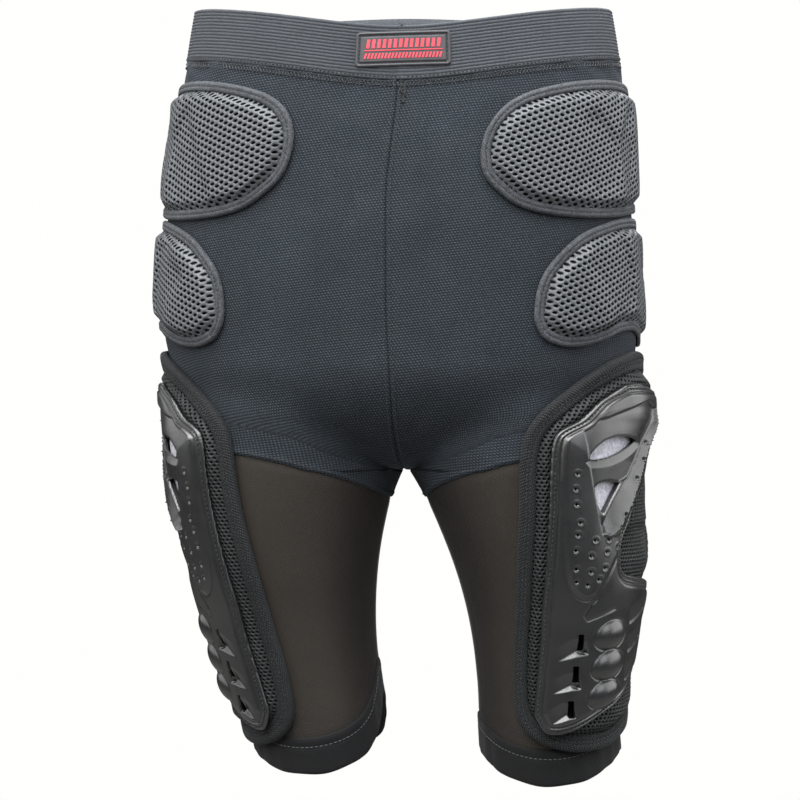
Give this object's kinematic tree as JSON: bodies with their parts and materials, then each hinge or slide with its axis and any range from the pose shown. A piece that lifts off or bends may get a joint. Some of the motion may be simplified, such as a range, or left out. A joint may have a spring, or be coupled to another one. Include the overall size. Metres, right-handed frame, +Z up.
{
  "type": "padded impact shorts",
  "caption": "Close-fitting knit shorts with foam hip, thigh and tailbone pads under mesh covers, and vented moulded thigh shells.",
  "frame": {"origin": "centre of the waist opening, level with the top of the waistband at the hips' sides", "axes": "+Z up along the body, -Y towards the wearer's front, +X towards the wearer's left"},
  "size_m": [0.3507, 0.2417, 0.5382],
  "materials": {
    "waist_elastic": "ribbed elastic, matt",
    "badge_rubber": "moulded, satin",
    "knit": "power-stretch knit, matt",
    "sheer_mesh": "fine sheer mesh, slight sheen",
    "hem_elastic": "folded elastic hem, matt",
    "foam": "closed-cell impact foam",
    "spacer_mesh": "coarse spacer mesh, matt",
    "hex_mesh": "open hexagonal mesh, slight sheen",
    "binding_tape": "woven grosgrain tape",
    "liner": "pale textured liner",
    "shell_plastic": "satin moulded plastic"
  },
  "bodies": {
    "hips": {"waistband": "waist_elastic", "waist_badge": "badge_rubber", "front_panel_left": "knit", "front_panel_right": "knit", "back_panel_left": "knit", "back_panel_right": "knit", "upper_hip_foam_left": "foam", "upper_hip_mesh_left": "hex_mesh", "upper_hip_binding_left": "binding_tape", "upper_hip_foam_right": "foam", "upper_hip_mesh_right": "hex_mesh", "upper_hip_binding_right": "binding_tape", "lower_hip_foam_left": "foam", "lower_hip_mesh_left": "hex_mesh", "lower_hip_binding_left": "binding_tape", "lower_hip_foam_right": "foam", "lower_hip_mesh_right": "hex_mesh", "lower_hip_binding_right": "binding_tape", "tailbone_foam": "foam", "tailbone_mesh": "hex_mesh", "tailbone_binding": "binding_tape"},
    "left_leg": {"leg_panel_left": "sheer_mesh", "hem_left": "hem_elastic", "thigh_foam_left": "foam", "thigh_mesh_left": "spacer_mesh", "thigh_binding_left": "binding_tape", "vent_liner_left": "liner", "thigh_shell_left": "shell_plastic"},
    "right_leg": {"leg_panel_right": "sheer_mesh", "hem_right": "hem_elastic", "thigh_foam_right": "foam", "thigh_mesh_right": "spacer_mesh", "thigh_binding_right": "binding_tape", "vent_liner_right": "liner", "thigh_shell_right": "shell_plastic"}
  },
  "joints": [
    {"name": "left_hip", "type": "hinge", "parent": "hips", "child": "left_leg", "pos_m": [0.08, 0.008, -0.232], "axis": [-1, 0, 0], "range_deg": [-10, 12]},
    {"name": "right_hip", "type": "hinge", "parent": "hips", "child": "right_leg", "pos_m": [-0.076, 0.008, -0.232], "axis": [-1, 0, 0], "range_deg": [-10, 12]}
  ]
}
